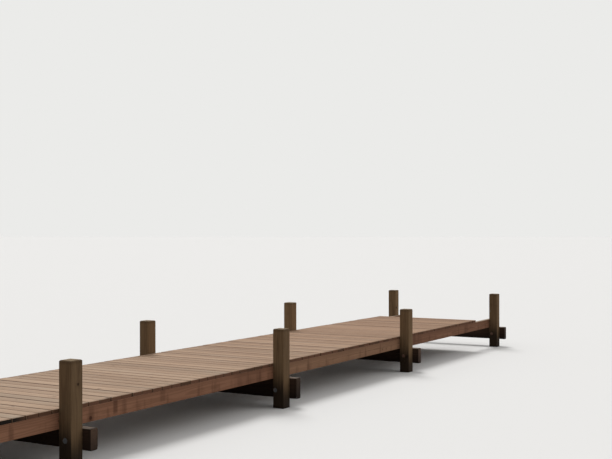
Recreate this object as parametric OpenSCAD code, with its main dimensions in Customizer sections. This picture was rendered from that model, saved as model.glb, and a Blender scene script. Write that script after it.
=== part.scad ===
// Timber jetty on pairs of square posts, with a deck of cross boards.
// X runs from the shore to the lake end, Y across the deck, Z up.
// The origin is the middle of the whole outline, level with the feet of the posts.

/* [Bays] */
// Number of standard bays, counted from the shore
std_bays = 4; // [1:1:5]
// Length of a standard bay, from one post to the same face of the next
bay = 3700; // [2400:50:4200]
// Length of the last bay, which reaches the end posts
end_bay = 4000; // [2400:50:4500]

/* [Posts] */
// Side of a square post
post_side = 150; // [100:5:200]
// Height of the post tops above the deck
post_rise = 435; // [250:5:900]
// Height of the deck above the feet of the posts
deck_level = 550; // [540:10:1500]
// Slope cut off the edges of a post top
post_top_chamfer = 10; // [4:1:20]
// How much higher each left post is cut than post_rise, counted from the shore
left_post_extra = [6, -8, 4, -2, 16, 20];
// How much higher each right post is cut than post_rise, counted from the shore
right_post_extra = [-6, 5, 7, -14, -18, 6];

/* [Cross beams] */
// Thickness of a cross beam, along the jetty
beam_t = 100; // [60:5:140]
// Depth of the shallowest cross beams
beam_h = 200; // [120:10:240]
// How much deeper each cross beam is than that, counted from the shore
beam_extra = [20, 5, 5, 55, 30, 25];
// How far a cross beam sticks out past each post
beam_overhang = 95; // [30:5:200]

/* [Edge beams and joists] */
// Thickness of an edge beam
edge_t = 75; // [50:5:100]
// Depth of the edge beams and joists
edge_h = 150; // [120:5:180]
// Thickness of an inner joist
joist_t = 75; // [50:5:100]
// Distance between the middles of the two rows of inner joists
joist_spacing = 640; // [400:10:800]
// How far a joist laps past the middle of a cross beam
joist_lap = 130; // [80:10:200]
// Gap between two edge beams that meet end to end on a cross beam
butt_gap = 4; // [2:1:8]
// How far the beams and the deck run past the first posts
shore_overrun = 50; // [20:5:120]
// How far the beams run past the last cross beam
end_overrun = 50; // [20:5:120]

/* [Deck] */
// Length of a deck board, the clear width between the posts
deck_w = 1940; // [1400:10:2400]
// Width of a deck board
board_w = 150; // [95:5:200]
// Thickness of a deck board
board_t = 40; // [28:1:50]
// Open gap between two deck boards
board_gap = 11; // [6:1:15]
// Stretch before the end posts where the boards are missing
bare_end = 700; // [300:10:1200]

/* [Finish] */
// Width of the worn edge on sawn timber
arris = 3; // [1:1:5]

/* [Hidden] */
// Colours of weathered softwood
POST_COLOUR = [0.43, 0.33, 0.24];
BEAM_COLOUR = [0.29, 0.22, 0.16];
EDGE_COLOUR = [0.50, 0.37, 0.27];
JOIST_COLOUR = [0.45, 0.34, 0.25];
BOARD_COLOUR = [0.62, 0.54, 0.46];

bays = std_bays + 1;
bents = bays + 1;
left = 1;
right = -1;

// A ripped board narrower than this is left out at the shore end
min_board_w = 45;

// Places along the jetty, measured from the shore end of the beams
function bent_at(i) = shore_overrun + ((i <= bays) ? (i - 1) * bay : std_bays * bay + end_bay);
last_beam_end = bent_at(bents) + post_side + beam_t;
total_l = last_beam_end + end_overrun;
x0 = -total_l / 2;
function post_x(i) = x0 + bent_at(i);
function beam_x(i) = post_x(i) + post_side;
function beam_mid_x(i) = beam_x(i) + beam_t / 2;

// Levels above the feet of the posts
edge_top = deck_level - board_t;
beam_top = edge_top - edge_h;

// Timbers beyond the ends of the lists have no extra
function extra(list, i) = (i <= len(list)) ? list[i - 1] : 0;
function beam_bottom(i) = beam_top - beam_h - extra(beam_extra, i);
function post_l(i, side) =
    deck_level + post_rise + extra((side == left) ? left_post_extra : right_post_extra, i);

// Places across the jetty
post_inner_y = deck_w / 2;
beam_l = deck_w + 2 * (post_side + beam_overhang);

// Ends of the pieces that run along the jetty
function edge_start(i) = (i == 1) ? x0 : beam_mid_x(i) + butt_gap / 2;
function edge_end(i) = (i == bays) ? x0 + total_l : beam_mid_x(i + 1) - butt_gap / 2;
function joist_start(i) = (i == 1) ? x0 : beam_mid_x(i) - joist_lap;
function joist_end(i) = (i == bays) ? deck_end - joist_t : beam_mid_x(i + 1) + joist_lap;

// Joists of neighbouring bays lie side by side where they lap
function joist_y(i) = joist_spacing / 2 + ((i % 2 == 0) ? joist_t / 2 : -joist_t / 2);

// Boards are laid from the lake end back to the shore
pitch = board_w + board_gap;
deck_start = x0;
deck_end = post_x(bents) - bare_end;
board_count = ceil((deck_end - deck_start - min_board_w) / pitch);
function board_hi(k) = deck_end - k * pitch;
function board_lo(k) = max(board_hi(k) - board_w, deck_start);
function bay_start(i) = (i == 1) ? deck_start - 1 : beam_mid_x(i);
function bay_end(i) = (i == bays) ? x0 + total_l : beam_mid_x(i + 1);
function in_bay(k, i) = board_lo(k) > bay_start(i) && board_lo(k) <= bay_end(i);

// Section of a sawn timber with worn edges, centred across, standing on its lower face
module sawn_section(w, h) {
    polygon([
        [-w / 2 + arris, 0],
        [w / 2 - arris, 0],
        [w / 2, arris],
        [w / 2, h - arris],
        [w / 2 - arris, h],
        [-w / 2 + arris, h],
        [-w / 2, h - arris],
        [-w / 2, arris]
    ]);
}

// Timber lying along X from x_a to x_b
module timber_along(x_a, x_b, w, h) {
    translate([x_a, 0, 0])
        rotate([90, 0, 90])
            linear_extrude(height = x_b - x_a)
                sawn_section(w, h);
}

// Timber lying across the jetty, its middle on Y = 0, from x_a to x_b
module timber_across(x_a, x_b, l, h) {
    translate([(x_a + x_b) / 2, l / 2, 0])
        rotate([90, 0, 0])
            linear_extrude(height = l)
                sawn_section(x_b - x_a, h);
}

// Side view of a post of the given length: square foot, chamfered top
module post_profile(l) {
    polygon([
        [-post_side / 2, 0],
        [post_side / 2, 0],
        [post_side / 2, l - post_top_chamfer],
        [post_side / 2 - post_top_chamfer, l],
        [-post_side / 2 + post_top_chamfer, l],
        [-post_side / 2, l - post_top_chamfer]
    ]);
}

// Square post with worn edges whose top is chamfered on all four sides
module post(i, side) {
    color(POST_COLOUR)
        translate([post_x(i) + post_side / 2, side * (post_inner_y + post_side / 2), 0])
            intersection() {
                translate([0, -post_side / 2, 0])
                    linear_extrude(height = post_l(i, side))
                        sawn_section(post_side, post_side);
                rotate([90, 0, 0])
                    linear_extrude(height = post_side, center = true)
                        post_profile(post_l(i, side));
                rotate([90, 0, 90])
                    linear_extrude(height = post_side, center = true)
                        post_profile(post_l(i, side));
            }
}

module left_post(i) {
    post(i, left);
}

module right_post(i) {
    post(i, right);
}

// Bearer bolted to the lake faces of a pair of posts
module cross_beam(i) {
    color(BEAM_COLOUR)
        translate([0, 0, beam_bottom(i)])
            timber_across(beam_x(i), beam_x(i) + beam_t, beam_l, beam_top - beam_bottom(i));
}

// Long outer beam that lies on two cross beams, against the posts
module edge_beam(i, side) {
    color(EDGE_COLOUR)
        translate([0, side * (post_inner_y - edge_t / 2), beam_top])
            timber_along(edge_start(i), edge_end(i), edge_t, edge_h);
}

module left_edge_beam(i) {
    edge_beam(i, left);
}

module right_edge_beam(i) {
    edge_beam(i, right);
}

// The pair of joists under the middle of a bay
module inner_joists(i) {
    color(JOIST_COLOUR)
        for (side = [left, right])
            translate([0, side * joist_y(i), beam_top])
                timber_along(joist_start(i), joist_end(i), joist_t, edge_h);
}

// Timber between the edge beams under the last board, which carries the ends of the last joists
module end_trimmer() {
    color(JOIST_COLOUR)
        translate([0, 0, beam_top])
            timber_across(deck_end - joist_t, deck_end, deck_w - 2 * edge_t, edge_h);
}

// The boards whose shore edges lie in one bay
module deck_boards(i) {
    color(BOARD_COLOUR)
        for (k = [0 : board_count - 1])
            if (in_bay(k, i))
                translate([0, 0, edge_top])
                    timber_across(board_lo(k), board_hi(k), deck_w, board_t);
}

for (i = [1 : bents]) {
    left_post(i);
    right_post(i);
    cross_beam(i);
}
for (i = [1 : bays]) {
    left_edge_beam(i);
    right_edge_beam(i);
    inner_joists(i);
    deck_boards(i);
}
end_trimmer();
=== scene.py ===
# %% [markdown]
# A timber jetty, dressed in cells.
#
# The jetty stands on pairs of square softwood posts. A cross beam is bolted to each pair, long beams lie
# on the cross beams, and a deck of cross boards lies on the long beams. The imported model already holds
# every timber at its real size and place. This lesson gives each timber the form and finish of sawn wood
# that has stood in a lake for years, and adds the bolts and screws.

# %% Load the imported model
import math
import random
from functools import partial

import bpy
from mathutils import Matrix, Vector, noise


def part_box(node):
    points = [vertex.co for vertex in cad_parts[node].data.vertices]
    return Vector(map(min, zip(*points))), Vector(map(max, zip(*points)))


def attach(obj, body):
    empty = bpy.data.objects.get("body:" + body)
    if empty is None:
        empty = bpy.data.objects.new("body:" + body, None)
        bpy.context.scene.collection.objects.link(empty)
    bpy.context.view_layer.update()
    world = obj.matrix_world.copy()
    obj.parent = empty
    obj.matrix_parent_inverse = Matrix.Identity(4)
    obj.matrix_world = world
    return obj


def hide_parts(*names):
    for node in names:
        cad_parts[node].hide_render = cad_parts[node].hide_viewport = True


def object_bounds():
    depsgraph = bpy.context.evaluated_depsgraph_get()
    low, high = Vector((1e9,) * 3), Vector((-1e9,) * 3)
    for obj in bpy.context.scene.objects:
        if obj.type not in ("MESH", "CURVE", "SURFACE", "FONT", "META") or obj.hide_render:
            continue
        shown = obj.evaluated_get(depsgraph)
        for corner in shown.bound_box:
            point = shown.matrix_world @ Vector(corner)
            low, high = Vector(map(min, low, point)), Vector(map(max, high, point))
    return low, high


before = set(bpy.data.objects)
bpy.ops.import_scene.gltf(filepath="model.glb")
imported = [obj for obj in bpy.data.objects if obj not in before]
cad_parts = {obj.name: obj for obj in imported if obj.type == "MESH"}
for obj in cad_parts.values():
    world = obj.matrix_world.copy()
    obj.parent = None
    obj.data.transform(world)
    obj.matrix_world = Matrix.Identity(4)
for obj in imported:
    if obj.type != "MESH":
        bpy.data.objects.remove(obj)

cad_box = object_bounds()
BENTS = sum(name.startswith("cross_beam_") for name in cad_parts)
BAYS = BENTS - 1
MM = 0.001
print("solids in the frame:", len(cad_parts), "frames of posts:", BENTS, "bays:", BAYS)

# %% [markdown]
# A few small helpers serve the whole lesson. Colours are written as sRGB hex values, which a shader needs
# as linear numbers. A node is added with its settings and its links in one call, so that a material or a
# Geometry Nodes tree reads as a list of steps. A finished piece is tied to the model in one place, so no
# piece is left without a body.

# %% Helpers
def linear(hex_colour):
    """An sRGB hex value as linear RGBA."""
    parts = [int(hex_colour[i:i + 2], 16) / 255 for i in (1, 3, 5)]
    return [c / 12.92 if c <= 0.04045 else ((c + 0.055) / 1.055) ** 2.4 for c in parts] + [1.0]


def add(tree, kind, inputs=None, **settings):
    """Adds one node. inputs maps a socket's name or number to a value or to another node's output."""
    node = tree.nodes.new(kind)
    for name, value in settings.items():
        setattr(node, name, value)
    for key, value in (inputs or {}).items():
        if isinstance(value, bpy.types.NodeSocket):
            tree.links.new(value, node.inputs[key])
        else:
            node.inputs[key].default_value = value
    return node


def calculate(tree, operation, *values, clamp=False):
    """The result of one step of arithmetic in a tree."""
    return add(tree, "ShaderNodeMath", dict(enumerate(values)), operation=operation,
               use_clamp=clamp).outputs[0]


def mixed(tree, factor, a, b):
    """Colour a where the factor is 0, b where it is 1."""
    return add(tree, "ShaderNodeMix", {0: factor, 6: a, 7: b}, data_type="RGBA").outputs[2]


def split(tree, joined):
    """The three parts of a vector, by name."""
    return add(tree, "ShaderNodeSeparateXYZ", {0: joined}).outputs


def vector(tree, x=0.0, y=0.0, z=0.0):
    """Three numbers as one vector."""
    return add(tree, "ShaderNodeCombineXYZ", {0: x, 1: y, 2: z}).outputs[0]


def settle(piece, slot, *nodes):
    """Ties a finished piece to the model's one body and hides the solids that it stands for."""
    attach(piece, "root")
    if nodes:
        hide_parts(*nodes)
    return piece


print("a mid grey in linear light:", round(linear("#808080")[0], 3))

# %% [markdown]
# The camera comes first, because every later choice is judged through it. The photograph was taken by
# someone standing beside the jetty, so its horizon is almost level and the deck runs away to the right.
# The place below was found by matching the edges of seven posts and the lines of the deck. It is written
# from the shore corner of the third right post, at the level of the deck.

# %% Camera
IMAGE_WIDTH_PX = 612
SENSOR_MM = 36.0
FOCAL_PX = 1017.2
EYE_FROM_POST = Vector((-6.917, -6.464, 1.604))
YAW = math.radians(30.05)
PITCH = math.radians(0.17)
ROLL = math.radians(-0.11)

scene = bpy.context.scene
scene.view_settings.view_transform = "Standard"
post_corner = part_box("right_post_3")[0]
deck_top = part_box("deck_boards_3")[1].z
eye = Vector((post_corner.x, post_corner.y, deck_top)) + EYE_FROM_POST

forward = Vector((math.cos(YAW) * math.cos(PITCH), math.sin(YAW) * math.cos(PITCH), math.sin(PITCH)))
level_right = Vector((math.sin(YAW), -math.cos(YAW), 0))
level_up = level_right.cross(forward)
right = level_right * math.cos(ROLL) + level_up * math.sin(ROLL)
up = level_up * math.cos(ROLL) - level_right * math.sin(ROLL)

camera_data = bpy.data.cameras.new("camera")
camera_data.sensor_width = SENSOR_MM
camera_data.lens = FOCAL_PX * SENSOR_MM / IMAGE_WIDTH_PX
camera_data.clip_end = 2000
camera = bpy.data.objects.new("camera", camera_data)
camera.matrix_world = Matrix.Translation(eye) @ Matrix((right, up, -forward)).transposed().to_4x4()
scene.collection.objects.link(camera)
scene.camera = camera
print("lens in mm:", round(camera_data.lens, 1), "eye above the deck in m:", round(EYE_FROM_POST.z, 2))

# %% [markdown]
# The photograph's light is the open sky of an evening, brightest behind the jetty, over dark water that
# throws nothing back. So the deck is the palest face, the sides turned to the camera are much darker, and
# the sides turned to the shore darkest. The studio keeps that order with a soft dome, one broad lamp high
# on the lake side and a weak one on the camera's right. The dome and the floor show the camera a plain pale
# tone, while the light that they throw onto the timbers stays low, as over water.

# %% Light and floor
BACKDROP = linear("#EBEBE9")
DOME_STRENGTH = 0.50
BOUNCE = linear("#A3A19E")
LAMPS = {
    # Turn from +X towards +Y, height above the horizon, strength and width of the disc; angles in degrees
    "key": (38, 52, 2.0, 26),
    "fill": (-62, 24, 0.62, 60),
}


def sun(name, turn, height, strength, width):
    """A lamp far away, whose light comes from the given direction."""
    data = bpy.data.lights.new(name, "SUN")
    data.energy = strength
    data.angle = math.radians(width)
    lamp = bpy.data.objects.new(name, data)
    a, e = math.radians(turn), math.radians(height)
    towards = Vector((math.cos(a) * math.cos(e), math.sin(a) * math.cos(e), math.sin(e)))
    lamp.rotation_euler = towards.to_track_quat("Z", "Y").to_euler()
    scene.collection.objects.link(lamp)


for lamp_name, lamp in LAMPS.items():
    sun(lamp_name, *lamp)


def eye_rays(tree):
    """1 for rays that show a surface to the eye, straight or in a mirror; 0 for rays that carry light."""
    rays = add(tree, "ShaderNodeLightPath").outputs
    return calculate(tree, "MAXIMUM", rays["Is Camera Ray"], rays["Is Glossy Ray"])


world = bpy.data.worlds.new("studio")
world.use_nodes = True
sky = world.node_tree
sky.nodes.clear()
dome = add(sky, "ShaderNodeBackground", {"Color": linear("#FFFFFF"), "Strength": DOME_STRENGTH})
shown = add(sky, "ShaderNodeBackground", {"Color": BACKDROP, "Strength": 1.0})
both = add(sky, "ShaderNodeMixShader", {0: eye_rays(sky), 1: dome.outputs[0], 2: shown.outputs[0]})
add(sky, "ShaderNodeOutputWorld", {"Surface": both.outputs[0]})
scene.world = world

HALF_FLOOR = 450  # in metres, so that its edge can't be told from the horizon
FLOOR_GAP = 0.5 * MM  # keeps the floor from flickering through the feet of the posts
corners = [(x * HALF_FLOOR, y * HALF_FLOOR, 0) for x, y in ((-1, -1), (1, -1), (1, 1), (-1, 1))]
floor_mesh = bpy.data.meshes.new("floor")
floor_mesh.from_pydata(corners, [], [(0, 1, 2, 3)])
floor = bpy.data.objects.new("floor", floor_mesh)
floor.location.z = cad_box[0].z - FLOOR_GAP
scene.collection.objects.link(floor)
floor_paint = bpy.data.materials.new("matt_floor_paint")
floor_paint.use_nodes = True
paint = floor_paint.node_tree
coat = paint.nodes["Principled BSDF"].inputs
paint.links.new(mixed(paint, eye_rays(paint), BOUNCE, linear("#E2E1DF")), coat["Base Color"])
coat["Roughness"].default_value = 0.9
coat["Specular IOR Level"].default_value = 0.1
floor_mesh.materials.append(floor_paint)
print("lamps:", list(LAMPS), "floor level:", round(floor.location.z, 4))

# %% [markdown]
# The wood of such a jetty is sawn larch or pine. Four things make it read as wood: growth rings, which run
# out along a sawn face as long pale and dark lines; knots; a grey skin of weathered fibres that wears off
# unevenly; and darker end grain. The rings are real circles round the heart of the log, so the shader
# works them out from each timber's own coordinates, kept on the mesh as an attribute: x along the grain,
# y and z from the heart. Then each face shows the lines that a saw would have cut there. The rings of such
# wood are 2 to 5 mm wide, too fine for the picture, so they are drawn a few times coarser.
#
# A second attribute tells the shader where it is on the timber: how far from the nearer end, and how far
# across the section, as a share of its half width. Grime and painted shade sit where two boards nearly touch,
# and the ends of boards drink water, so both follow from these numbers and not from a painted picture.

# %% A material for sawn wood
GRAIN = "grain_at"
PLACE = "section_at"
TONE = "tone"
END = "end_grain"
SHINE = 0.10  # open fibres scatter nearly all light, so far less than the 0.5 of a smooth surface


def sawn_wood(name, colours, ring_mm, rings, weathered, spread, uneven, grime_and_shade=0.0, drips_and_shade=0.0, bleach_and_sheen=None,
              bare_from=None, browner=None, dark_ends=None, wet_and_shade=None, marks=(), stains=()):
    """Sawn softwood.

    colours: early wood, late wood, grey skin, knots and end grain, as hex values.
    ring_mm: the width of a growth ring as it is drawn.
    rings and uneven: how strongly the rings and the patches show. weathered: the share of grey skin.
    spread: how much one timber differs from the next. grime_and_shade: grime and painted shade on boards'
    long sides.
    drips_and_shade: how dark the streaks are that run down a side face, and the dirt and painted shade under
    boards.
    bleach_and_sheen: colour and share of what rain and sun do to the top, and of painted sheen on wet tops.
    bare_from: place along the jetty past which no board covers the top. browner: places along the jetty
    between which the wood gets browner, and by how much. dark_ends: places between which the end grain gets
    lighter.
    wet_and_shade: colour, level where it is dark, level where it is dry, and how much higher it climbs on the
    side towards the shore, where it is painted shade.
    marks: knots seen in the photograph on the right side, as x, z and radius in metres.
    stains: dark streaks seen there, as x, half width, level of the foot and depth of tone.
    """
    early, late, grey, knot, end = (linear(c) for c in colours)
    material = bpy.data.materials.new(name)
    material.use_nodes = True
    tree = material.node_tree
    tree.nodes.clear()
    calc, mix = partial(calculate, tree), partial(mixed, tree)

    def smooth(value, low, high):
        """0 at low, 1 at high, with a soft start and end."""
        return add(tree, "ShaderNodeMapRange", {"Value": value, "From Min": low, "From Max": high},
                   interpolation_type="SMOOTHSTEP").outputs["Result"]

    def soft_noise(place, squeeze, detail=3.0, roughness=0.55):
        """Noise between 0 and 1 on a place that is scaled along, across and through the timber."""
        scaled = add(tree, "ShaderNodeVectorMath", {0: place, 1: squeeze}, operation="MULTIPLY").outputs[0]
        return add(tree, "ShaderNodeTexNoise", {"Vector": scaled, "Scale": 1.0, "Detail": detail,
                                                "Roughness": roughness}).outputs["Fac"]

    def attribute(kind, output):
        return add(tree, "ShaderNodeAttribute", attribute_name=kind).outputs[output]

    grain = attribute(GRAIN, "Vector")
    tone = attribute(TONE, "Fac")
    is_end = attribute(END, "Fac")
    section = split(tree, attribute(PLACE, "Vector"))
    object_place = add(tree, "ShaderNodeTexCoord").outputs["Object"]
    world_place = split(tree, object_place)
    facing = split(tree, add(tree, "ShaderNodeNewGeometry").outputs["Normal"])
    own = add(tree, "ShaderNodeVectorMath", {0: (37.0, 11.0, 23.0), "Scale": tone}, operation="SCALE")
    place = add(tree, "ShaderNodeVectorMath", {0: grain, 1: own.outputs[0]}, operation="ADD").outputs[0]
    other_tone = calc("FRACT", calc("MULTIPLY", tone, 7.31))

    # Growth rings: distance from the heart, bent by slow noise along the trunk, wider in good years
    parts = split(tree, grain)
    lean = soft_noise(place, (0.45, 3.0, 3.0), detail=1.0)
    wander = soft_noise(place, (1.6, 9.0, 9.0), detail=2.0)
    heart_y = calc("MULTIPLY_ADD", tone, 0.06, calc("SUBTRACT", parts["Y"], 0.03))
    radius = calc("SQRT", calc("MULTIPLY_ADD", heart_y, heart_y, calc("MULTIPLY", parts["Z"], parts["Z"])))
    bend = calc("MULTIPLY_ADD", lean, 0.075, calc("MULTIPLY", wander, 0.018))
    years = vector(tree, radius, tone)
    good_and_bad = soft_noise(years, (42.0, 50.0, 1.0), detail=1.0)
    grown = calc("MULTIPLY_ADD", good_and_bad, 0.026, calc("ADD", radius, bend))
    wave = calc("SINE", calc("MULTIPLY", grown, 2 * math.pi / (ring_mm * MM)))
    late_wood = smooth(wave, -0.2, 1.0)

    # Knots: dark discs where a branch left the trunk, in about half of the cells
    cells = add(tree, "ShaderNodeTexVoronoi", {"Vector": place, "Scale": 5.2, "Randomness": 0.9})
    pick = add(tree, "ShaderNodeSeparateColor", {0: cells.outputs["Color"]}).outputs[0]
    chosen = calc("GREATER_THAN", pick, 0.45)
    knots = calc("MULTIPLY", chosen, smooth(cells.outputs["Distance"], 0.13, 0.085))
    halo = calc("MULTIPLY", chosen, smooth(cells.outputs["Distance"], 0.30, 0.10))
    for x, z, size in marks:
        dx = calc("SUBTRACT", world_place["X"], x)
        dz = calc("SUBTRACT", world_place["Z"], z)
        away = calc("SQRT", calc("ADD", calc("MULTIPLY", dx, dx), calc("MULTIPLY", dz, dz)))
        right_side = calc("LESS_THAN", world_place["Y"], 0.0)
        knots = calc("MAXIMUM", knots, calc("MULTIPLY", right_side, smooth(away, size, 0.6 * size)))
        halo = calc("MAXIMUM", halo, calc("MULTIPLY", right_side, smooth(away, 2.6 * size, 0.8 * size)))

    # Grey skin in long streaks, and broad clouds of it
    streaks = soft_noise(place, (0.8, 34.0, 34.0), detail=4.0, roughness=0.65)
    clouds = soft_noise(place, (1.1, 5.0, 5.0), detail=3.0)
    fibres = soft_noise(place, (7.0, 260.0, 260.0), detail=2.0, roughness=0.7)
    skin = smooth(calc("MULTIPLY_ADD", streaks, 0.7, calc("MULTIPLY", clouds, 0.5)),
                  0.80 - 0.45 * weathered, 1.0 - 0.40 * weathered)
    skin = calc("MULTIPLY", skin, calc("MULTIPLY_ADD", other_tone, 0.9, 0.10 + 0.5 * weathered), clamp=True)
    skin = calc("MAXIMUM", skin, calc("MULTIPLY", smooth(other_tone, 0.55, 1.0), 1.1 * weathered), clamp=True)

    wood = mix(calc("MULTIPLY", late_wood, rings), early, late)
    wood = mix(calc("MULTIPLY", halo, 0.35), wood, late)
    wood = mix(skin, wood, grey)
    wood = mix(calc("MULTIPLY", knots, 0.85), wood, knot)

    # Rain and sun bleach what faces the sky; on the cross beams the pale top is painted sheen of the sky
    bleach_and_sheen_colour, bleach_and_sheen_share = bleach_and_sheen or (colours[2], 0.5)
    bleach_and_sheen_mask = calc("MULTIPLY", smooth(facing["Z"], 0.55, 0.95), bleach_and_sheen_share)
    if bare_from:
        bleach_and_sheen_mask = calc("MULTIPLY", bleach_and_sheen_mask, smooth(world_place["X"], bare_from - 0.03, bare_from + 0.03))
    wood = mix(bleach_and_sheen_mask, wood, linear(bleach_and_sheen_colour))
    if browner:
        start, stop, share = browner
        wood = mix(calc("MULTIPLY", smooth(world_place["X"], start, stop), share), wood, late)

    # Each timber is a little lighter or darker than its neighbour, and patchy in itself
    bright = calc("MULTIPLY_ADD", tone, spread, 1.0 - 0.5 * spread)
    for noise_of, share in ((fibres, 0.9), (clouds, 1.1), (streaks, 1.2)):
        patchy = calc("MULTIPLY_ADD", noise_of, share * uneven, 1.0 - share / 2 * uneven)
        bright = calc("MULTIPLY", bright, patchy)
    wood = add(tree, "ShaderNodeVectorMath", {0: wood, "Scale": bright}, operation="SCALE").outputs[0]

    # Grime and painted shade on the long sides of boards, more on some than on others, and damp close to the
    # ends
    sides = smooth(calc("ABSOLUTE", section["Z"]), 0.90, 0.99)
    upright = smooth(calc("ABSOLUTE", facing["Z"]), 0.5, 0.2)
    near_end = smooth(section["X"], 0.05, 0.004)
    worn_off = calc("MAXIMUM", upright, calc("MULTIPLY_ADD", other_tone, 0.7, 0.4), clamp=True)
    side_grime_and_shade = calc("MULTIPLY", sides, calc("MULTIPLY", worn_off, grime_and_shade))
    dirt_and_shade = calc("MAXIMUM", side_grime_and_shade, calc("MULTIPLY", near_end, 0.35))
    wood = mix(dirt_and_shade, wood, knot)

    # Rain that runs off the boards leaves dark streaks down the faces below; close under the boards, dirt and
    # painted shade
    if drips_and_shade:
        runs = soft_noise(object_place, (8.0, 2.0, 0.9), detail=2.5, roughness=0.5)
        dirt_and_shade_under_boards = calc("MULTIPLY", smooth(section["Z"], -0.2, 1.0), 0.6)
        streak_and_shade = calc("MAXIMUM", smooth(runs, 0.48, 0.70), dirt_and_shade_under_boards)
        wood = mix(calc("MULTIPLY", streak_and_shade, calc("MULTIPLY", upright, drips_and_shade)), wood, knot)
    for x, half_width, foot, depth in stains:
        beside = calc("ABSOLUTE", calc("SUBTRACT", world_place["X"], x))
        stain = calc("MULTIPLY", smooth(beside, half_width, 0.4 * half_width), depth)
        wood = mix(calc("MULTIPLY", stain, smooth(world_place["Z"], foot, foot + 0.05)), wood, knot)

    # End grain drinks water and dirt
    end_wood = mix(calc("MULTIPLY", smooth(wave, 0.0, 0.9), 0.36), end, knot)
    end_wood = mix(calc("MULTIPLY", smooth(other_tone, 0.35, 0.0), 0.8), end_wood, knot)
    if dark_ends:
        end_wood = mix(smooth(world_place["X"], *dark_ends), linear("#1A1410"), end_wood)
    wood = mix(is_end, wood, end_wood)

    roughness = calc("MULTIPLY_ADD", fibres, 0.16, 0.74)
    if wet_and_shade:
        wet_and_shade_colour, dark_level, dry_level, shore_shade_rise = wet_and_shade
        edge = calc("MULTIPLY_ADD", streaks, 0.16, calc("SUBTRACT", world_place["Z"], 0.08))
        # Painted shade: the dark band climbs higher on the faces turned to the shore
        edge = calc("MULTIPLY_ADD", smooth(facing["X"], -0.3, -0.8), -shore_shade_rise, edge)
        damp_and_shade = smooth(edge, dry_level, dark_level)
        wood = mix(calc("MULTIPLY", damp_and_shade, 0.88), wood, linear(wet_and_shade_colour))

    relief = calc("ADD", calc("MULTIPLY", late_wood, 0.45), calc("MULTIPLY", fibres, 0.8))
    relief = calc("SUBTRACT", relief, calc("MULTIPLY", knots, 0.5))
    bump = add(tree, "ShaderNodeBump", {"Height": relief, "Strength": 0.55, "Distance": 1.2 * MM})
    shader = add(tree, "ShaderNodeBsdfPrincipled", {"Base Color": wood, "Roughness": roughness,
                                                    "Normal": bump.outputs[0], "Specular IOR Level": SHINE})
    add(tree, "ShaderNodeOutputMaterial", {"Surface": shader.outputs[0]})
    return material


# %% [markdown]
# Five woods come from that one recipe. The deck is bleached by sun and feet to a pale pinkish beige, and
# its boards differ most, because they take the most wear. The edge beams hang in the shade of the boards'
# ends, keep their oil and stay a reddish brown. The posts are a duller brown, and their feet, which the
# water wets, are almost black. The cross beams lie lowest and are damp and dark all over, a darkness that is
# partly painted shade from the deck above, with a painted sheen on their tops, and the inner joists never
# see the sun.

# %% The five woods
# Colours: early wood, late wood, grey skin, knots and dirt, end grain
DECK_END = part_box(f"deck_boards_{BAYS}")[1].x
WOODS = {
    "deck_wood": sawn_wood("sawn_larch_bleached", ("#B18F74", "#8E6B52", "#A18E7B", "#4A3527", "#654535"), 11,
                           rings=0.45, weathered=0.6, spread=0.28, uneven=0.24, grime_and_shade=0.8,
                           browner=(-2.5, 8.5, 0.62), dark_ends=(-2.7, -2.4)),
    "edge_wood": sawn_wood("sawn_larch_oiled", ("#89624C", "#6A4935", "#7E6B53", "#3A2014", "#4A3425"), 13,
                           rings=0.45, weathered=0.3, spread=0.35, uneven=0.28, drips_and_shade=0.45,
                           bleach_and_sheen=("#A5937F", 0.85), bare_from=DECK_END, marks=((-1.70, 0.395, 0.025),),
                           stains=((-1.345, 0.045, 0.36, 0.55), (-0.60, 0.06, 0.37, 0.30),
                                   (1.05, 0.45, 0.34, 0.25))),
    "post_wood": sawn_wood("sawn_larch_post", ("#725B42", "#543F2D", "#715E46", "#2B1C12", "#7D6B53"), 12,
                           rings=0.4, weathered=0.4, spread=0.5, uneven=0.46,
                           wet_and_shade=("#18120E", 0.07, 0.36, 0.13)),
    # The dark colours of the cross beams are partly painted shade from the deck above
    "beam_wood": sawn_wood("sawn_larch_damp_and_shaded", ("#3B2A20", "#2B1D15", "#3E3227", "#160F0A", "#5B473A"), 13,
                           # The pale top of the cross beams is a painted sheen of the sky on wet wood
                           rings=0.45, weathered=0.3, spread=0.5, uneven=0.3, bleach_and_sheen=("#807266", 0.65),
                           wet_and_shade=("#15100D", 0.06, 0.40, 0.0)),
    "joist_wood": sawn_wood("sawn_larch_shaded", ("#735640", "#58402D", "#68543F", "#2A1A10", "#4B3828"), 13,
                            rings=0.5, weathered=0.25, spread=0.2, uneven=0.3),
}
print("woods:", sorted(WOODS))

# %% [markdown]
# A sawn timber isn't a box. Its edges are worn round, its faces are a little uneven, and as it dries it
# splits from the surface towards the heart in long cracks, called checks. A box with a bump map shows none
# of that in outline, so each timber is built as a row of rings, each ring a set of points round the
# section. A check is three of those points: two lips and a bottom that sinks in and comes back along the
# timber. The ends are closed by smaller rings that meet at the heart, where the checks run on as grooves.

# %% One timber, ring by ring
CHECK_CLEARANCE = 9 * MM  # a plain point nearer to a check than this gives way to it
SHUT_LIP = 0.6 * MM
DRIFT = 5 * MM  # how far a check strays across its face
END_GROOVE = 5 * MM  # the depth of a check where it crosses the end grain
END_RINGS = (0.62, 0.28)  # the rings that close an end, as shares of the section
HOLLOWS_ALONG, HOLLOWS_ROUND = 4, 16  # how many hollows a face has to the metre


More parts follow.
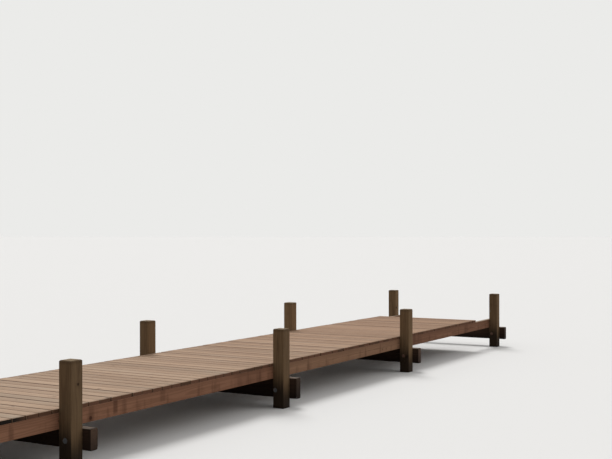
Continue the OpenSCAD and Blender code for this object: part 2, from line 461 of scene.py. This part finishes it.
class Section:
    """Points round a rectangular section, anticlockwise, with three points for each check."""

    def __init__(self, width, depth, radius, checks):
        self.points = []
        u, v = width / 2, depth / 2
        corners = [Vector((u, -v)), Vector((u, v)), Vector((-u, v)), Vector((-u, -v))]
        for side in range(4):
            start, stop = corners[side], corners[(side + 1) % 4]
            run = (stop - start).normalized()
            out = Vector((run.y, -run.x))
            length = (stop - start).length
            spots = [(radius, None, 0), (length / 2, None, 0), (length - radius, None, 0)]
            for number, check in enumerate(checks):
                if check["side"] == side:
                    spots = [s for s in spots if abs(s[0] - check["across"] * length) > CHECK_CLEARANCE]
                    spots += [(check["across"] * length, number, role) for role in (-1, 0, 1)]
            spots.sort(key=lambda s: (s[0], s[2]))
            for distance, number, role in spots:
                self.points.append((start + run * distance, run, out, number, role))
            bend = radius * (1 - math.cos(math.pi / 4))
            after = Vector((out.x + run.x, out.y + run.y))
            self.points.append((stop - after * bend, run, out, None, 0))


def open_share(check, distance):
    """How far a check gapes at a distance along the timber, from 0 to 1."""
    share = (distance - check["start"]) / (check["stop"] - check["start"])
    if not 0 < share < 1:
        return 0.0
    flutter = 0.8 + 0.2 * noise.noise(Vector((distance * 9, check["seed"], 0)))
    return (4 * share * (1 - share)) ** 0.6 * flutter


def timber_mesh(name, length, width, depth, radius, checks, seed, step, heart, end_cut=(0.003, 0.003),
                unevenness=1.0 * MM, tone=None):
    """A timber along X from 0 to length, its section centred on Y and Z. Points only ever move inwards."""
    section = Section(width, depth, radius, checks)
    count = len(section.points)
    rows = max(4, round(length / step))
    stations = [0.0] + [end_cut[0] + (length - sum(end_cut)) * i / rows for i in range(rows + 1)] + [length]
    vertices, faces, ends = [], [], []
    for number, x in enumerate(stations):
        inset = end_cut[0] if number == 0 else end_cut[1] if number == len(stations) - 1 else 0.0
        shrink = Vector((1 - 2 * inset / width, 1 - 2 * inset / depth))
        for point, run, out, crack, role in section.points:
            at = Vector((point.x * shrink.x, point.y * shrink.y))
            wave = Vector((x * HOLLOWS_ALONG + seed * 7.1, point.x * HOLLOWS_ROUND, point.y * HOLLOWS_ROUND))
            at -= out * unevenness * abs(noise.noise(wave))
            if crack is not None:
                check = checks[crack]
                share = open_share(check, x)
                drift = DRIFT * noise.noise(Vector((x * 3, check["seed"], 5)))
                at += run * (role * (SHUT_LIP + check["gape"] / 2 * share) + drift)
                if role == 0:
                    at -= out * check["deep"] * share
            vertices.append((x, at.x, at.y))
    for i in range(len(stations) - 1):
        for j in range(count):
            k = (j + 1) % count
            faces.append((i * count + j, i * count + k, (i + 1) * count + k, (i + 1) * count + j))
            ends.append(0.0)
    middle = Vector([max(-0.3 * size, min(0.3 * size, at)) for size, at in zip((width, depth), heart)])
    for end in (0, 1):
        outer = [end * (len(stations) - 1) * count + j for j in range(count)]
        x = stations[-1] if end else 0.0
        inwards = -1 if end else 1
        rim = outer
        for share in END_RINGS:
            ring = []
            for j, (point, run, out, crack, role) in enumerate(section.points):
                at = middle + (Vector(vertices[outer[j]][1:]) - middle) * share
                groove = 0.0
                if crack is not None and role == 0:
                    groove = END_GROOVE * share * min(1.0, 0.35 + open_share(checks[crack], x))
                ring.append(len(vertices))
                vertices.append((x + inwards * groove, at.x, at.y))
            for j in range(count):
                k = (j + 1) % count
                quad = (rim[j], rim[k], ring[k], ring[j])
                faces.append(quad if end else quad[::-1])
                ends.append(1.0)
            rim = ring
        tip = len(vertices)
        vertices.append((x, middle.x, middle.y))
        for j in range(count):
            triangle = (rim[j], rim[(j + 1) % count], tip)
            faces.append(triangle if end else triangle[::-1])
            ends.append(1.0)
    mesh = bpy.data.meshes.new(name)
    mesh.from_pydata(vertices, [], faces)
    mesh.attributes.new(END, "FLOAT", "FACE").data.foreach_set("value", ends)
    mesh.attributes.new(GRAIN, "FLOAT_VECTOR", "POINT").data.foreach_set(
        "vector", [c for x, y, z in vertices for c in (x, y - heart[0], z - heart[1])])
    mesh.attributes.new(PLACE, "FLOAT_VECTOR", "POINT").data.foreach_set(
        "vector", [c for x, y, z in vertices for c in (min(x, length - x), 2 * y / width, 2 * z / depth)])
    mesh.attributes.new(TONE, "FLOAT", "POINT").data.foreach_set(
        "value", [random.Random(seed).random() if tone is None else tone] * len(vertices))
    mesh.update()
    mesh.shade_smooth()
    mesh.set_sharp_from_angle(angle=math.radians(38))
    return mesh


def some_checks(rng, length, sides, gape, deep):
    """One random check on each of the given sides, many of them open at an end."""
    found = []
    for side in sides:
        span = length * rng.uniform(0.25, 0.7)
        start = rng.choice([-0.15 * span, length - 0.85 * span, rng.uniform(0, length - span)])
        found.append({"side": side, "across": rng.uniform(0.3, 0.7), "start": start, "stop": start + span,
                      "gape": gape * rng.uniform(0.5, 1), "deep": deep * rng.uniform(0.6, 1),
                      "seed": rng.uniform(0, 99)})
    return found


# Cyclic turns of the axes, so that a timber made along X can lie along Y or stand along Z
TURNS = {
    "X": Matrix.Identity(4),
    "Y": Matrix(((0, 0, 1, 0), (1, 0, 0, 0), (0, 1, 0, 0), (0, 0, 0, 1))),
    "Z": Matrix(((0, 1, 0, 0), (0, 0, 1, 0), (1, 0, 0, 0), (0, 0, 0, 1))),
}


def timber_between(name, low, high, along, rng, radius=4 * MM, checks=2, gape=3 * MM, deep=14 * MM,
                   step=0.08, end_cut=(0.003, 0.003), tone=None):
    """A timber that fills the box from low to high, with its grain along the named axis."""
    size, middle = high - low, (low + high) / 2
    axis = "XYZ".index(along)
    length, width, depth = (size[(axis + i) % 3] for i in range(3))
    heart = (width * rng.uniform(-0.12, 0.12), depth * rng.uniform(-0.12, 0.12))
    seed = rng.randrange(1000)
    cracks = some_checks(rng, length, rng.sample(range(4), checks), gape, deep)
    mesh = timber_mesh(name, length, width, depth, radius, cracks, seed, step, heart, end_cut, tone=tone)
    start = middle.copy()
    start[axis] = low[axis]
    mesh.transform(Matrix.Translation(start) @ TURNS[along])
    return mesh


def show(name, meshes, material):
    """Joins meshes into one object at the origin, with one material."""
    parts = []
    for mesh in meshes:
        mesh.materials.append(material)
        part = bpy.data.objects.new(name, mesh)
        scene.collection.objects.link(part)
        parts.append(part)
    if len(parts) > 1:
        with bpy.context.temp_override(active_object=parts[0], selected_editable_objects=parts):
            bpy.ops.object.join()
    return parts[0]


# %% [markdown]
# The posts are 150 mm square. Their tops are cut level and the edges are taken off, so that rain runs
# away. They stand in the weather on all sides, so they have the widest checks, many of them open at an
# end. Each post gets its own seed, because two posts from one saw never split alike.

# %% Posts
POST_TOP_CUT = 9 * MM
# Tones of the posts in the photograph, where the nearest two are the darkest
POST_TONES = {"right_post_3": 0.06, "right_post_4": 0.19, "right_post_5": 0.47, "right_post_6": 0.335,
              "left_post_4": 0.47, "left_post_5": 0.875, "left_post_6": 0.745}
for bent in range(1, BENTS + 1):
    for side in ("left", "right"):
        node = f"{side}_post_{bent}"
        low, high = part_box(node)
        rng = random.Random(node)
        mesh = timber_between(node, low, high, "Z", rng, checks=3, gape=5 * MM, deep=22 * MM, step=0.045,
                              end_cut=(0.002, POST_TOP_CUT), tone=POST_TONES.get(node))
        settle(show(f"{node}_timber", [mesh], WOODS["post_wood"]), "post_wood", node)
print("posts:", 2 * BENTS)

# %% [markdown]
# The cross beams and the beams and joists that lie on them are made the same way, only longer. The two
# joists of a bay are one node in the model, so they are joined into one piece here.

# %% Cross beams, edge beams and joists
# What sets single timbers apart in the photograph: the fourth right edge beam is greyer than the others, and
# the third cross beam darker than the next two
SEEN_TONES = {"right_edge_beam_2": 0.47, "right_edge_beam_3": 0.56, "right_edge_beam_4": 0.68,
              "right_edge_beam_5": 0.02, "cross_beam_3": 0.17, "cross_beam_4": 0.7, "cross_beam_5": 0.78}
for bent in range(1, BENTS + 1):
    node = f"cross_beam_{bent}"
    low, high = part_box(node)
    mesh = timber_between(node, low, high, "Y", random.Random(node), radius=14 * MM, checks=3,
                          tone=SEEN_TONES.get(node))
    settle(show(f"{node}_timber", [mesh], WOODS["beam_wood"]), "beam_wood", node)

EDGE_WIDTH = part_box("left_edge_beam_1")[1].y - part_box("left_edge_beam_1")[0].y
for bay in range(1, BAYS + 1):
    for side in ("left", "right"):
        node = f"{side}_edge_beam_{bay}"
        low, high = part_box(node)
        mesh = timber_between(node, low, high, "X", random.Random(node), checks=3, tone=SEEN_TONES.get(node))
        settle(show(f"{node}_timber", [mesh], WOODS["edge_wood"]), "edge_wood", node)
    node = f"inner_joists_{bay}"
    low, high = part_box(node)
    pair = []
    for number, y in enumerate((low.y, high.y - EDGE_WIDTH)):
        joist_low, joist_high = Vector((low.x, y, low.z)), Vector((high.x, y + EDGE_WIDTH, high.z))
        pair.append(timber_between(node, joist_low, joist_high, "X", random.Random(f"{node}{number}"),
                                   step=0.2))
    settle(show(f"{node}_timber", pair, WOODS["joist_wood"]), "joist_wood", node)

low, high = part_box("end_trimmer")
mesh = timber_between("end_trimmer", low, high, "Y", random.Random("end_trimmer"))
settle(show("end_trimmer_timber", [mesh], WOODS["joist_wood"]), "joist_wood", "end_trimmer")
print("beams and joists:", BENTS + 4 * BAYS + 1)

# %% [markdown]
# The deck repeats one board over a hundred times, so Geometry Nodes lay it. Four slightly different boards
# are made once. The tree sets out a point for each board, from the lake end back to the shore as the
# boards were laid, and puts one of the four on each point. Seeded random numbers shorten a board by a few
# millimetres, turn it a fraction of a degree and rock it, and each gets its own tone. The last board at the
# shore is ripped to the width that is left. The instances are then realized, and the result is kept as a
# plain mesh for each bay.

# %% Four boards to choose from
BOARD_WIDTH = 0.150
BOARD_GAP = 0.011
PITCH_OF_BOARDS = BOARD_WIDTH + BOARD_GAP
NARROWEST_BOARD = 0.020
# How far boards lie out of place, in metres, radians and a share of the length
LAYING_SLIP = 0.007
LAST_BOARD_SLIP = 0.001  # keeps a board laid out of true from passing the end of the model
SINK = (-0.0022, -0.0004)
SKEW = 0.0008
ROCK = 0.004
SHORTEST = 0.9955
board_low, board_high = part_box("deck_boards_2")
BOARD_LENGTH = board_high.y - board_low.y
BOARD_THICKNESS = board_high.z - board_low.z


def board_object(number):
    """One deck board along Y, centred on the origin, with its heart below it as in a slab-sawn board."""
    rng = random.Random(f"board {number}")
    checks = some_checks(rng, BOARD_LENGTH, (0, 2), 3 * MM, 9 * MM)
    mesh = timber_mesh(f"board_{number}", BOARD_LENGTH, BOARD_THICKNESS, BOARD_WIDTH, 3 * MM, checks,
                       seed=number, step=0.12, heart=(-0.05 - 0.02 * number, 0.012 * (number - 1.5)),
                       unevenness=1.2 * MM)
    mesh.transform(TURNS["Y"] @ Matrix.Translation((-BOARD_LENGTH / 2, 0, 0)))
    mesh.attributes.remove(mesh.attributes[TONE])
    board = bpy.data.objects.new(f"board_{number}", mesh)
    scene.collection.objects.link(board)
    return board


boards = [board_object(number) for number in range(4)]
print("a board:", [round(v, 3) for v in boards[0].dimensions])

# %% [markdown]
# A tree that lays a bay and a tree that drives its screws are put together from the same few steps. Both
# start from a row of points, one in the middle of each board.

# %% Steps for the trees
def new_tree(name, **inputs):
    """A Geometry Nodes tree with named inputs; returns the tree and its input sockets by name."""
    tree = bpy.data.node_groups.new(name, "GeometryNodeTree")
    tree.interface.new_socket("Geometry", in_out="OUTPUT", socket_type="NodeSocketGeometry")
    for socket, kind in inputs.items():
        tree.interface.new_socket(socket, in_out="INPUT", socket_type="NodeSocket" + kind)
    return tree, add(tree, "NodeGroupInput").outputs


def chance(tree, low, high, seed, kind="FLOAT"):
    """A random number for each element, from low to high."""
    first = {"FLOAT": 2, "INT": 4}[kind]
    node = add(tree, "FunctionNodeRandomValue", {first: low, first + 1: high, 8: seed}, data_type=kind)
    return node.outputs[{"FLOAT": 1, "INT": 2}[kind]]


def grow(name, tree, values):
    """Runs a tree once and keeps its result as a plain mesh."""
    carrier = bpy.data.objects.new(name, bpy.data.meshes.new(name))
    scene.collection.objects.link(carrier)
    modifier = carrier.modifiers.new("grow", "NODES")
    modifier.node_group = tree
    for item in tree.interface.items_tree:
        if item.in_out == "INPUT":
            modifier[item.identifier] = values[item.name]
    grown = bpy.data.meshes.new_from_object(carrier.evaluated_get(bpy.context.evaluated_depsgraph_get()))
    bpy.data.objects.remove(carrier)
    piece = bpy.data.objects.new(name, grown)
    scene.collection.objects.link(piece)
    return piece


def random_turn(tree, seed):
    """The small angles by which a board was laid out of true."""
    skew = chance(tree, -SKEW, SKEW, seed)
    rock = chance(tree, -ROCK, ROCK, seed)
    return rock, skew


def move(tree, geometry, offset):
    """Each point of a geometry moved by its own offset."""
    return add(tree, "GeometryNodeSetPosition", {"Geometry": geometry, "Offset": offset}).outputs[0]


def put_on(tree, points, instance, settings=()):
    """The instance on each of the points. settings: the node's other inputs."""
    inputs = {"Points": points, "Instance": instance} | dict(settings)
    return add(tree, "GeometryNodeInstanceOnPoints", inputs).outputs[0]


def as_instance(tree, thing):
    """An object as one instance. thing: the object, or a tree's input that holds it."""
    return add(tree, "GeometryNodeObjectInfo", {"Object": thing, "As Instance": True}).outputs["Geometry"]


def finish_tree(tree, instances, material):
    """Makes a plain mesh of all the instances, gives it its material and sends it out."""
    made = add(tree, "GeometryNodeRealizeInstances", {0: instances}).outputs[0]
    made = add(tree, "GeometryNodeSetMaterial", {"Geometry": made, "Material": material}).outputs[0]
    add(tree, "NodeGroupOutput", {0: made})


def board_places(tree, inputs):
    """A point in the middle of each board, from the lake side of a bay to its shore side."""
    start = vector(tree, inputs["First"], inputs["Middle"], inputs["Height"])
    line = add(tree, "GeometryNodeMeshLine", {"Count": inputs["Count"], "Start Location": start,
                                              "Offset": (-PITCH_OF_BOARDS, 0, 0)}).outputs[0]
    index = add(tree, "GeometryNodeInputIndex").outputs[0]
    last = calculate(tree, "SUBTRACT", inputs["Count"], 1)
    is_last = add(tree, "FunctionNodeCompare", {0: index, 1: last, 12: 0.1}, operation="EQUAL").outputs[0]

    def switch(others, last_one):
        return add(tree, "GeometryNodeSwitch", {0: is_last, 1: others, 2: last_one},
                   input_type="FLOAT").outputs[0]

    width_share = switch(1.0, inputs["Last"])
    gap_slip = switch(chance(tree, -LAYING_SLIP, 0.0, inputs["Seed"]), LAST_BOARD_SLIP)
    ripped_off = calculate(tree, "SUBTRACT", 1.0, width_share)
    shift = calculate(tree, "MULTIPLY_ADD", ripped_off, BOARD_WIDTH / 2, gap_slip)
    offset = vector(tree, shift, z=chance(tree, *SINK, inputs["Seed"]))
    return move(tree, line, offset), width_share


# %% [markdown]
# The tree that lays a bay. Its inputs are the numbers that differ from bay to bay: how many boards, where
# the first one lies, how wide the last one is, and a seed. Everything else is the same for all bays.

# %% Lay the boards
BAY_INPUTS = {"Count": "Int", "First": "Float", "Middle": "Float", "Height": "Float", "Last": "Float",
              "Seed": "Int"}
lay, bay_in = new_tree("lay_boards", **BAY_INPUTS)
places, width_share = board_places(lay, bay_in)
size = vector(lay, width_share, chance(lay, SHORTEST, 1.0, bay_in["Seed"]), 1.0)
# Every second board or so lies turned round
half_turn = calculate(lay, "MULTIPLY", chance(lay, 0, 1, bay_in["Seed"], "INT"), math.pi)
rock, skew = random_turn(lay, bay_in["Seed"])
angles = vector(lay, 0.0, rock, calculate(lay, "ADD", half_turn, skew))
choices = add(lay, "GeometryNodeJoinGeometry")
for board in reversed(boards):
    lay.links.new(as_instance(lay, board), choices.inputs[0])
pick = chance(lay, 0, len(boards) - 1, bay_in["Seed"], "INT")
laid = put_on(lay, places, choices.outputs[0],
              {"Pick Instance": True, "Instance Index": pick, "Rotation": angles, "Scale": size})
laid = add(lay, "GeometryNodeStoreNamedAttribute",
           {"Geometry": laid, "Name": TONE, "Value": chance(lay, 0.0, 1.0, bay_in["Seed"])},
           data_type="FLOAT", domain="INSTANCE").outputs[0]
finish_tree(lay, laid, WOODS["deck_wood"])

bay_values = {}
for bay in range(1, BAYS + 1):
    node = f"deck_boards_{bay}"
    low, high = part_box(node)
    run = high.x - low.x
    # The 0.01 keeps a bay of whole boards whole when its length is a hair short
    whole = int((run + BOARD_GAP) / PITCH_OF_BOARDS + 0.01)
    rest = run - whole * PITCH_OF_BOARDS
    ripped = rest >= NARROWEST_BOARD
    last_width = rest if ripped else BOARD_WIDTH
    count = whole + 1 if ripped else whole
    middle = (low + high) / 2
    bay_values[bay] = {"Count": count, "First": high.x - BOARD_WIDTH / 2, "Middle": middle.y,
                       "Height": middle.z, "Last": last_width / BOARD_WIDTH, "Seed": 11 * bay}
    settle(grow(f"deck_bay_{bay}", lay, bay_values[bay]), "deck_wood", node)
    print("bay", bay, "boards:", count, "last board in mm:", round(last_width * 1000))

for board in boards:
    bpy.data.objects.remove(board)

# %% [markdown]
# Two screws hold a board down on each long beam below it, eight in all. A second tree puts a pattern of
# eight points on each board. It gets the same inputs and seeds as the first, so each pattern slips, sinks
# and turns with its own board. Then a screw head goes on each point, a few millimetres out of line.
#
# The steel is zinc that was dipped on and has dulled: a mid grey with soft patches, and rust where it wore
# through. The photograph shows grey heads on its two nearest posts and none on the next two, so towards the
# lake end, where waves wet the steel, it has all rusted.

# %% Steel
def dull_zinc(name, sound_to, rusted_from):
    """Hot-dipped zinc on steel: a few rusty spots up to one place along the jetty, all rust past another."""
    material = bpy.data.materials.new(name)
    material.use_nodes = True
    tree = material.node_tree
    shader = tree.nodes["Principled BSDF"]
    where = add(tree, "ShaderNodeTexCoord").outputs["Object"]

    def ramp(value, low, high):
        return add(tree, "ShaderNodeMapRange", {"Value": value, "From Min": low, "From Max": high}).outputs[0]

    patches = add(tree, "ShaderNodeTexNoise", {"Vector": where, "Scale": 60.0, "Detail": 3.0}).outputs["Fac"]
    rust = add(tree, "ShaderNodeTexNoise", {"Vector": where, "Scale": 23.0, "Detail": 5.0}).outputs["Fac"]
    waves = ramp(split(tree, where)["X"], sound_to, rusted_from)
    rusty = ramp(calculate(tree, "MULTIPLY_ADD", waves, 0.4, rust), 0.56, 0.66)
    zinc = mixed(tree, patches, linear("#424447"), linear("#666869"))
    tree.links.new(mixed(tree, rusty, zinc, linear("#4E3222")), shader.inputs["Base Color"])
    tree.links.new(calculate(tree, "SUBTRACT", 0.5, rusty, clamp=True), shader.inputs["Metallic"])
    shader.inputs["Roughness"].default_value = 0.55
    return material


STEEL = dull_zinc("hot_dipped_zinc", 2.0, 5.0)
STEEL_SLOT = "bolt_steel"


def turned(profile, sides, centre, turn=0.0):
    """A solid along X: rings of points at each (place along X, radius), closed at both ends."""
    vertices, faces = [], []
    for x, radius in profile:
        for i in range(sides):
            a = turn + 2 * math.pi * i / sides
            spoke = Vector((x, radius * math.cos(a), radius * math.sin(a)))
            vertices.append(Vector(centre) + spoke)
    for row in range(len(profile) - 1):
        for i in range(sides):
            k = (i + 1) % sides
            faces.append((row * sides + i, (row + 1) * sides + i, (row + 1) * sides + k, row * sides + k))
    faces.append(tuple(range(sides)))
    faces.append(tuple(reversed(range((len(profile) - 1) * sides, len(profile) * sides))))
    if profile[-1][0] > profile[0][0]:
        faces = [face[::-1] for face in faces]
    mesh = bpy.data.meshes.new("turned")
    mesh.from_pydata(vertices, [], faces)
    mesh.shade_smooth()
    mesh.set_sharp_from_angle(angle=math.radians(25))
    return mesh


# %% Screws in the boards
SCREW_HEAD = 4.5 * MM
SCREW_TO_EDGE = 30 * MM
SCREW_SINK = 0.6 * MM
# How far a screw strays from its line, along and across the jetty
STRAY_X, STRAY_Y = 0.004, 0.009
EDGE_SCREW_Y = BOARD_LENGTH / 2 - EDGE_WIDTH / 2


def screw_pattern(name, joist_y):
    """Eight points on one board, two above each of the four long timbers below it."""
    across, top = BOARD_WIDTH / 2 - SCREW_TO_EDGE, BOARD_THICKNESS / 2 - SCREW_SINK
    mesh = bpy.data.meshes.new(name)
    mesh.from_pydata([(x * across, side * y, top) for x in (-1, 1) for side in (-1, 1)
                      for y in (EDGE_SCREW_Y, joist_y)], [], [])
    pattern = bpy.data.objects.new(name, mesh)
    scene.collection.objects.link(pattern)
    return pattern


def screw_head():
    """A countersunk head, flush with the wood, with the worn recess for the driver in its middle."""
    mesh = turned(((-2 * MM, 1.5 * MM), (0.0, SCREW_HEAD), (0.5 * MM, SCREW_HEAD - 0.5 * MM),
                   (0.5 * MM, 1.8 * MM), (-0.6 * MM, 1.2 * MM)), 8, (0, 0, 0))
    mesh.transform(Matrix.Rotation(-math.pi / 2, 4, "Y"))
    head = bpy.data.objects.new("screw_head", mesh)
    scene.collection.objects.link(head)
    return head


head = screw_head()
drive, drive_in = new_tree("drive_screws", **BAY_INPUTS, Pattern="Object")
places, width_share = board_places(drive, drive_in)
rock, skew = random_turn(drive, drive_in["Seed"])
spots = put_on(drive, places, as_instance(drive, drive_in["Pattern"]),
               {"Rotation": vector(drive, 0.0, rock, skew), "Scale": vector(drive, width_share, 1.0, 1.0)})
spots = add(drive, "GeometryNodeRealizeInstances", {0: spots}).outputs[0]
stray = vector(drive, chance(drive, -STRAY_X, STRAY_X, 71), chance(drive, -STRAY_Y, STRAY_Y, 72))
spots = move(drive, spots, stray)
finish_tree(drive, put_on(drive, spots, as_instance(drive, head)), STEEL)

for bay, values in bay_values.items():
    joist_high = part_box(f"inner_joists_{bay}")[1].y
    row = screw_pattern(f"pattern_{bay}", joist_high - EDGE_WIDTH / 2)
    piece = settle(grow(f"deck_screws_{bay}", drive, values | {"Pattern": row}), STEEL_SLOT)
    print("bay", bay, "screw heads:", len(piece.data.polygons) // len(head.data.polygons))
    bpy.data.objects.remove(row)
bpy.data.objects.remove(head)

# %% [markdown]
# One long bolt goes through each post and the cross beam behind it. Its head and a broad washer show on the
# post's face towards the shore, and a washer, a nut and the bolt's end on the beam's face towards the lake.
# The places of two of them are those in the photograph; the others lie near the middle of the beam.

# %% Bolts
BOLT_R = 10 * MM
HEX_R = 17.3 * MM
HEAD_T = 12 * MM
NUT_T = 16 * MM
WASHER_R, WASHER_T = 27 * MM, 4 * MM
BOLT_END = 7 * MM
# The face of a timber lies up to this far inside its box, so a washer starts that much deeper
FACE_DIP = 1 * MM
# How far a bolt whose place is guessed lies from the middle of its post and its beam
GUESS_Y, GUESS_Z = 0.03, 0.02
SEEN_BOLTS = {"right_post_3": (-1.045, 0.262), "right_post_4": (-1.000, 0.222)}


def disc(radius, start, thick, towards, bevel):
    """The profile of a disc with both rims bevelled, from a face outwards."""
    return [(towards * (start + t), radius - cut) for t, cut in
            ((0, 0), (thick - bevel, 0), (thick, bevel))]


def bolt_side(centre, towards, turn, nut):
    """The washer and the head, or the nut and the bolt's end, on one face."""
    thick = NUT_T if nut else HEAD_T
    base = WASHER_T - FACE_DIP
    meshes = [turned(disc(WASHER_R, -FACE_DIP, WASHER_T, towards, 0.8 * MM), 24, centre),
              turned(disc(HEX_R, base, thick, towards, 1.6 * MM), 6, centre, turn)]
    if nut:
        meshes.append(turned(disc(BOLT_R, base, thick + BOLT_END, towards, 1.5 * MM), 16, centre))
    return meshes


for bent in range(1, BENTS + 1):
    beam_low, beam_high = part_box(f"cross_beam_{bent}")
    meshes = []
    for side in ("left", "right"):
        node = f"{side}_post_{bent}"
        low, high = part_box(node)
        rng = random.Random(f"bolt {node}")
        guess = ((low.y + high.y) / 2 + rng.uniform(-GUESS_Y, GUESS_Y),
                 (beam_low.z + beam_high.z) / 2 + rng.uniform(-GUESS_Z, GUESS_Z))
        y, z = SEEN_BOLTS.get(node, guess)
        meshes += bolt_side((low.x, y, z), -1, rng.uniform(0, 1), nut=False)
        meshes += bolt_side((beam_high.x, y, z), 1, rng.uniform(0, 1), nut=True)
    settle(show(f"bolts_{bent}", meshes, STEEL), STEEL_SLOT)
print("bolts:", 2 * BENTS)
